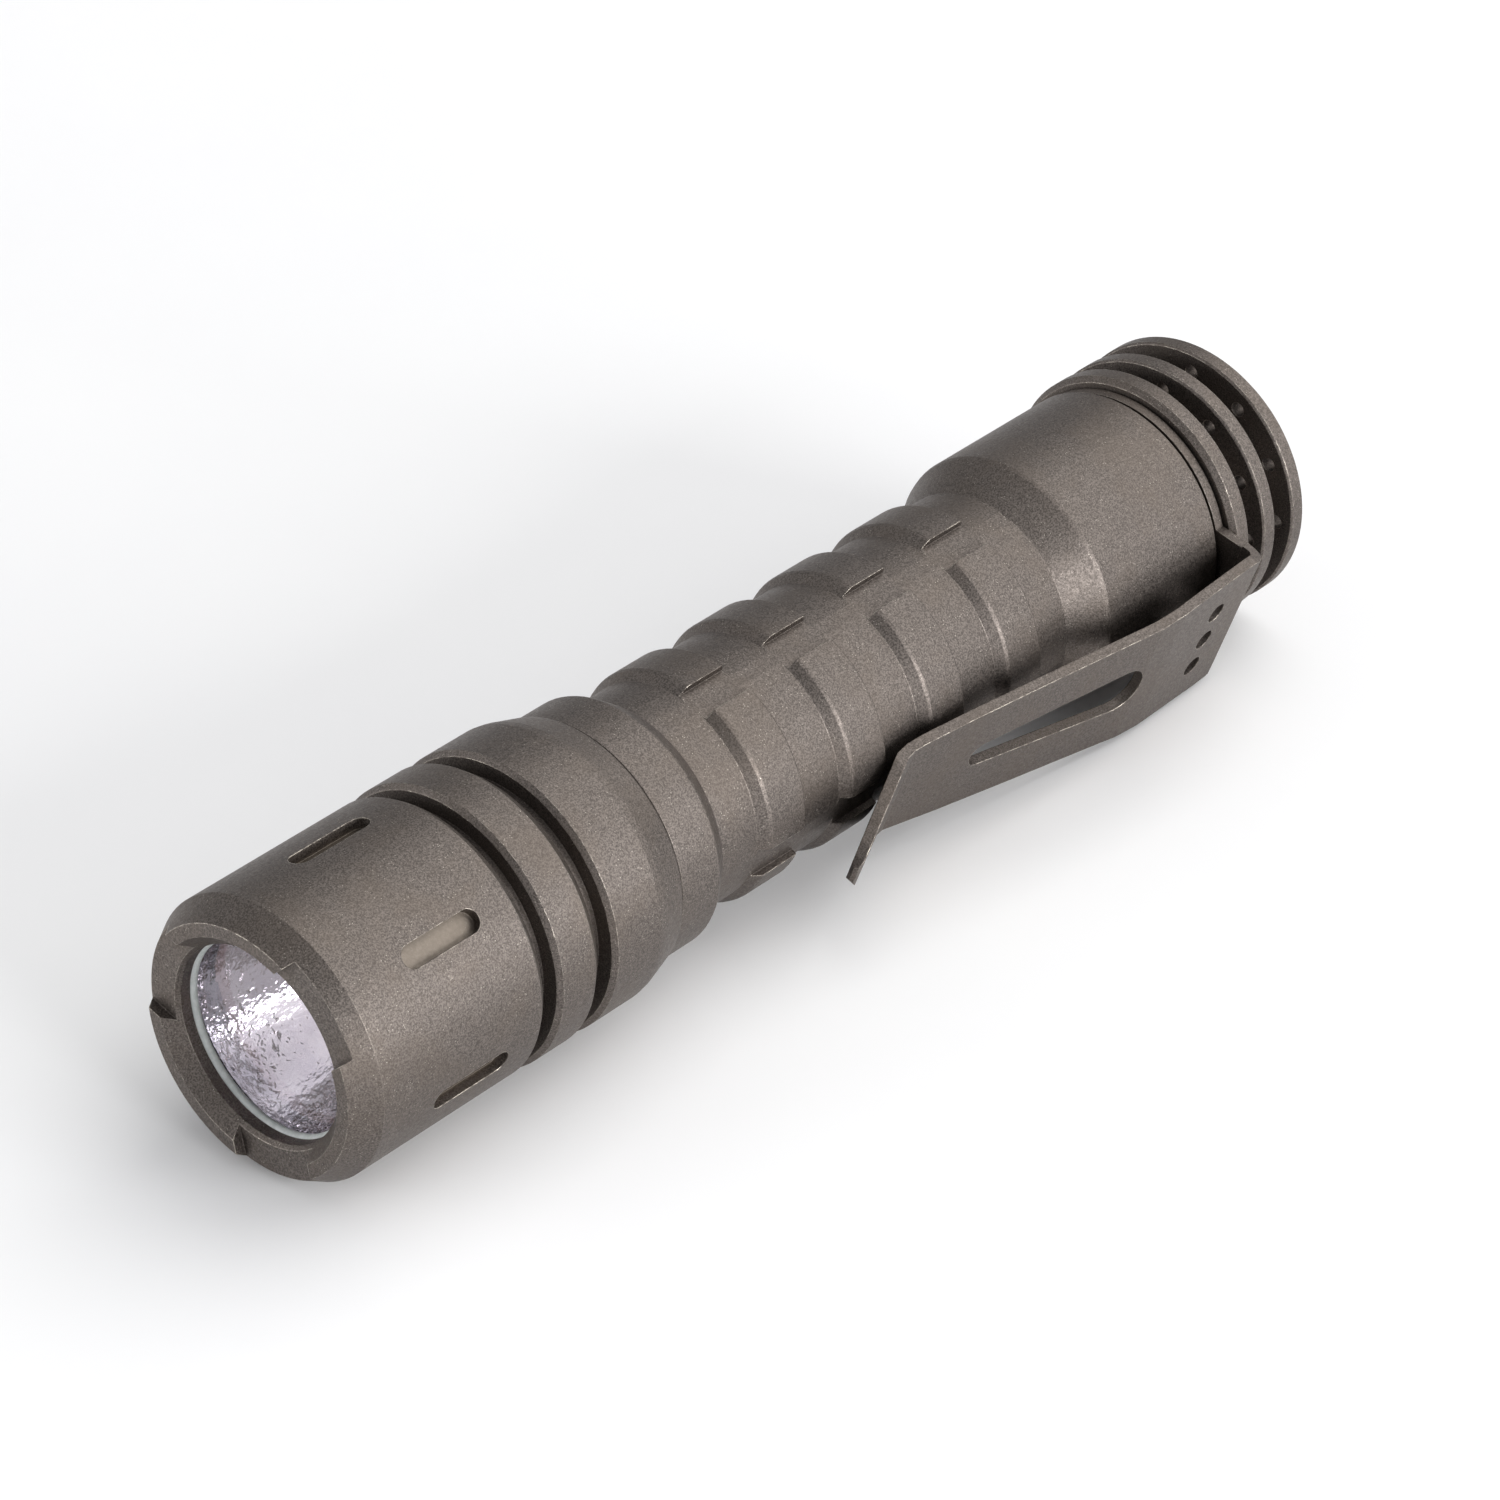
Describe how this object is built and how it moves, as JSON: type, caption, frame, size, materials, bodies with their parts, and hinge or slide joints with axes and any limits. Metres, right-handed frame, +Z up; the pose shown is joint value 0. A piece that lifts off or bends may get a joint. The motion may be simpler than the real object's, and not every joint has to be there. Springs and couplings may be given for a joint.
{
  "type": "pocket flashlight",
  "caption": "Slim metal pocket flashlight with a notched bezel, padded grip tube, folded sheet clip and a finned screw-on tailcap with a push button.",
  "frame": {"origin": "centre of the bounding box on the table, with the light lying on its side", "axes": "+X along the light from the bezel to the tailcap, +Z up, the clip on the -Y side"},
  "size_m": [0.0988, 0.0245, 0.0212],
  "materials": {
    "bezel": "bead-blasted bare titanium, warm grey, fine grain with brighter edges",
    "head_shell": "bead-blasted bare titanium, warm grey, fine grain with brighter edges",
    "body_tube": "bead-blasted bare titanium, warm grey, fine grain with brighter edges",
    "tailcap": "bead-blasted bare titanium, warm grey, fine grain with brighter edges",
    "clip_ring": "bead-blasted bare titanium, warm grey, fine grain with brighter edges",
    "clip_arm": "bead-blasted bare titanium, warm grey, fine grain with brighter edges",
    "button": "bead-blasted bare titanium, warm grey, fine grain with brighter edges",
    "lens": "coated flat glass",
    "lens_oring": "pale rubber",
    "reflector": "dimpled vapour-coated bowl",
    "led_ring": "moulded white plastic",
    "led_emitter": "ceramic chip with a phosphor dome",
    "led_board": "white solder mask on copper",
    "pill": "turned brass",
    "driver_board": "green circuit board",
    "driver_ring": "turned brass",
    "front_contact": "turned brass",
    "head_oring": "black rubber",
    "tail_oring": "black rubber",
    "button_oring": "black rubber",
    "cell": "shrink-wrapped can",
    "cell_nipple": "nickel-plated steel",
    "switch_ring": "turned aluminium",
    "switch_board": "green circuit board",
    "switch_body": "moulded black plastic",
    "switch_plunger": "moulded white plastic",
    "tail_spring": "plated spring wire",
    "spring_seat": "turned brass",
    "button_spring": "spring wire"
  },
  "bodies": {
    "tube": {"body_tube": "body_tube", "head_oring": "head_oring", "cell": "cell", "cell_nipple": "cell_nipple", "clip_ring": "clip_ring"},
    "head": {"bezel": "bezel", "lens": "lens", "lens_oring": "lens_oring", "reflector": "reflector", "led_ring": "led_ring", "led_emitter": "led_emitter", "led_board": "led_board", "pill": "pill", "driver_board": "driver_board", "driver_ring": "driver_ring", "front_contact": "front_contact", "head_shell": "head_shell"},
    "clip": {"clip_arm": "clip_arm"},
    "tail": {"tailcap": "tailcap", "tail_oring": "tail_oring", "switch_ring": "switch_ring", "switch_board": "switch_board", "switch_body": "switch_body", "tail_spring": "tail_spring", "spring_seat": "spring_seat", "button_spring": "button_spring"},
    "push": {"button": "button", "switch_plunger": "switch_plunger", "button_oring": "button_oring"}
  },
  "joints": [
    {"name": "head_turn", "type": "hinge", "parent": "tube", "child": "head", "pos_m": [0, 0.00181, 0.0106], "axis": [1, 0, 0], "range_deg": [-90, 0]},
    {"name": "tailcap_turn", "type": "hinge", "parent": "tube", "child": "tail", "pos_m": [0.04065, 0.00181, 0.0106], "axis": [1, 0, 0], "range_deg": [0, 90]},
    {"name": "clip_flex", "type": "hinge", "parent": "tube", "child": "clip", "pos_m": [0.04065, -0.00796, 0.00704], "axis": [0, -0.342, 0.9397], "range_deg": [0, 4], "stiffness_Nm_per_rad": 0.8},
    {"name": "button_press", "type": "slide", "parent": "tail", "child": "push", "axis": [-1, 0, 0], "range_m": [0, 0.0012], "stiffness_N_per_m": 800, "springref_m": -0.002, "deforming": ["button_spring"]}
  ]
}
